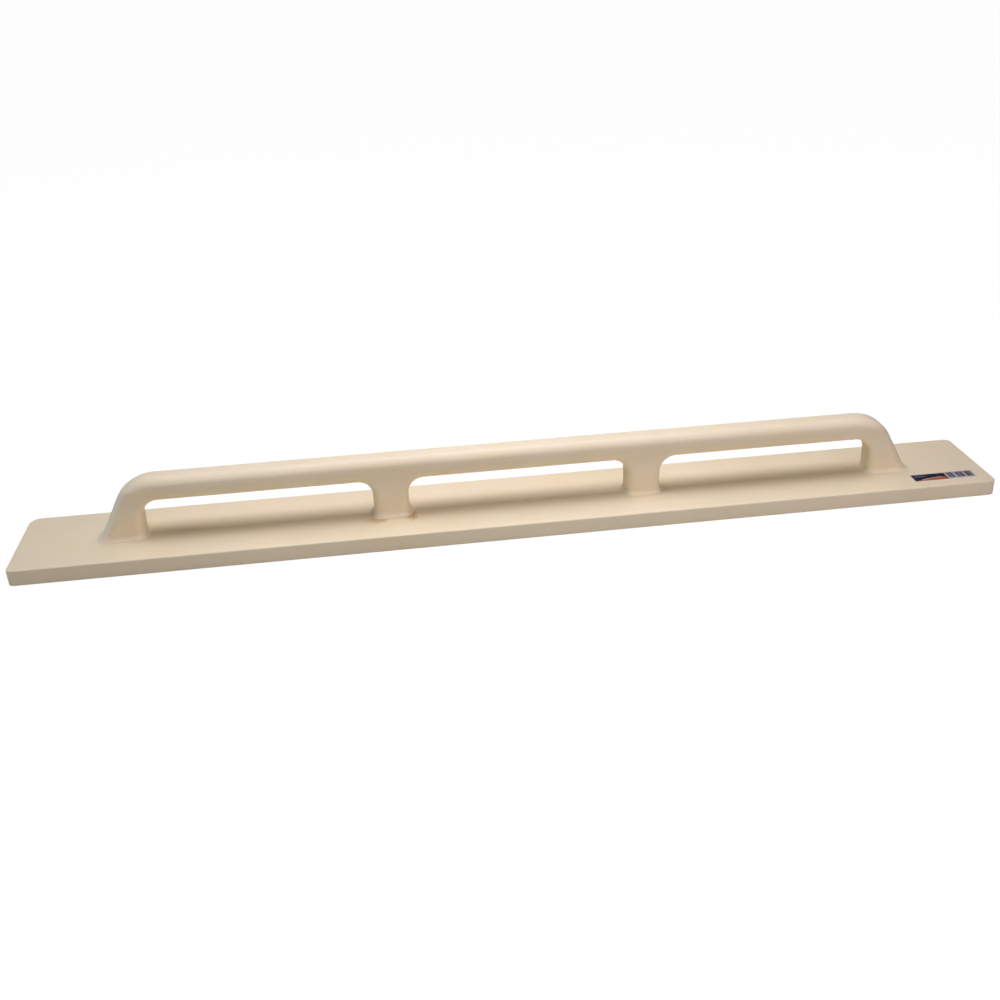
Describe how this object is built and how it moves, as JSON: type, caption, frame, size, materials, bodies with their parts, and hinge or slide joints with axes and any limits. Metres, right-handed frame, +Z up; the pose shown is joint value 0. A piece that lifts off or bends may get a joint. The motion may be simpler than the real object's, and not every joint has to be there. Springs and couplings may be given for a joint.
{
  "type": "darby float",
  "caption": "Long flat plastering darby of cream hard foam with a raised grip bar on raked end legs and middle posts, for levelling and floating walls.",
  "frame": {"origin": "centre of the sole, the flat working face the tool rests on", "axes": "+X along the board towards the labelled end, +Y across the board away from the label's long edge, +Z up out of the sole towards the grip"},
  "size_m": [1, 0.11, 0.08],
  "materials": {
    "foam_blade": "moulded hard foam skin, cream, satin",
    "foam_handle": "moulded hard foam skin, cream, satin, slightly glossier where it is gripped",
    "resin": "set bonding resin, amber",
    "dowel_wood": "planed beech, fluted",
    "tube_steel": "drawn steel, dull zinc",
    "plug_plastic": "moulded black polyethylene",
    "core_aluminium": "extruded flat bar, mill finish",
    "label_film": "printed vinyl film"
  },
  "bodies": {
    "root": {"blade": "foam_blade", "handle_frame": "foam_handle", "adhesive_bonds": "resin", "post_dowels": "dowel_wood", "handle_core_tube": "tube_steel", "tube_end_plugs": "plug_plastic", "blade_core_bars": "core_aluminium", "label": "label_film"}
  },
  "joints": []
}
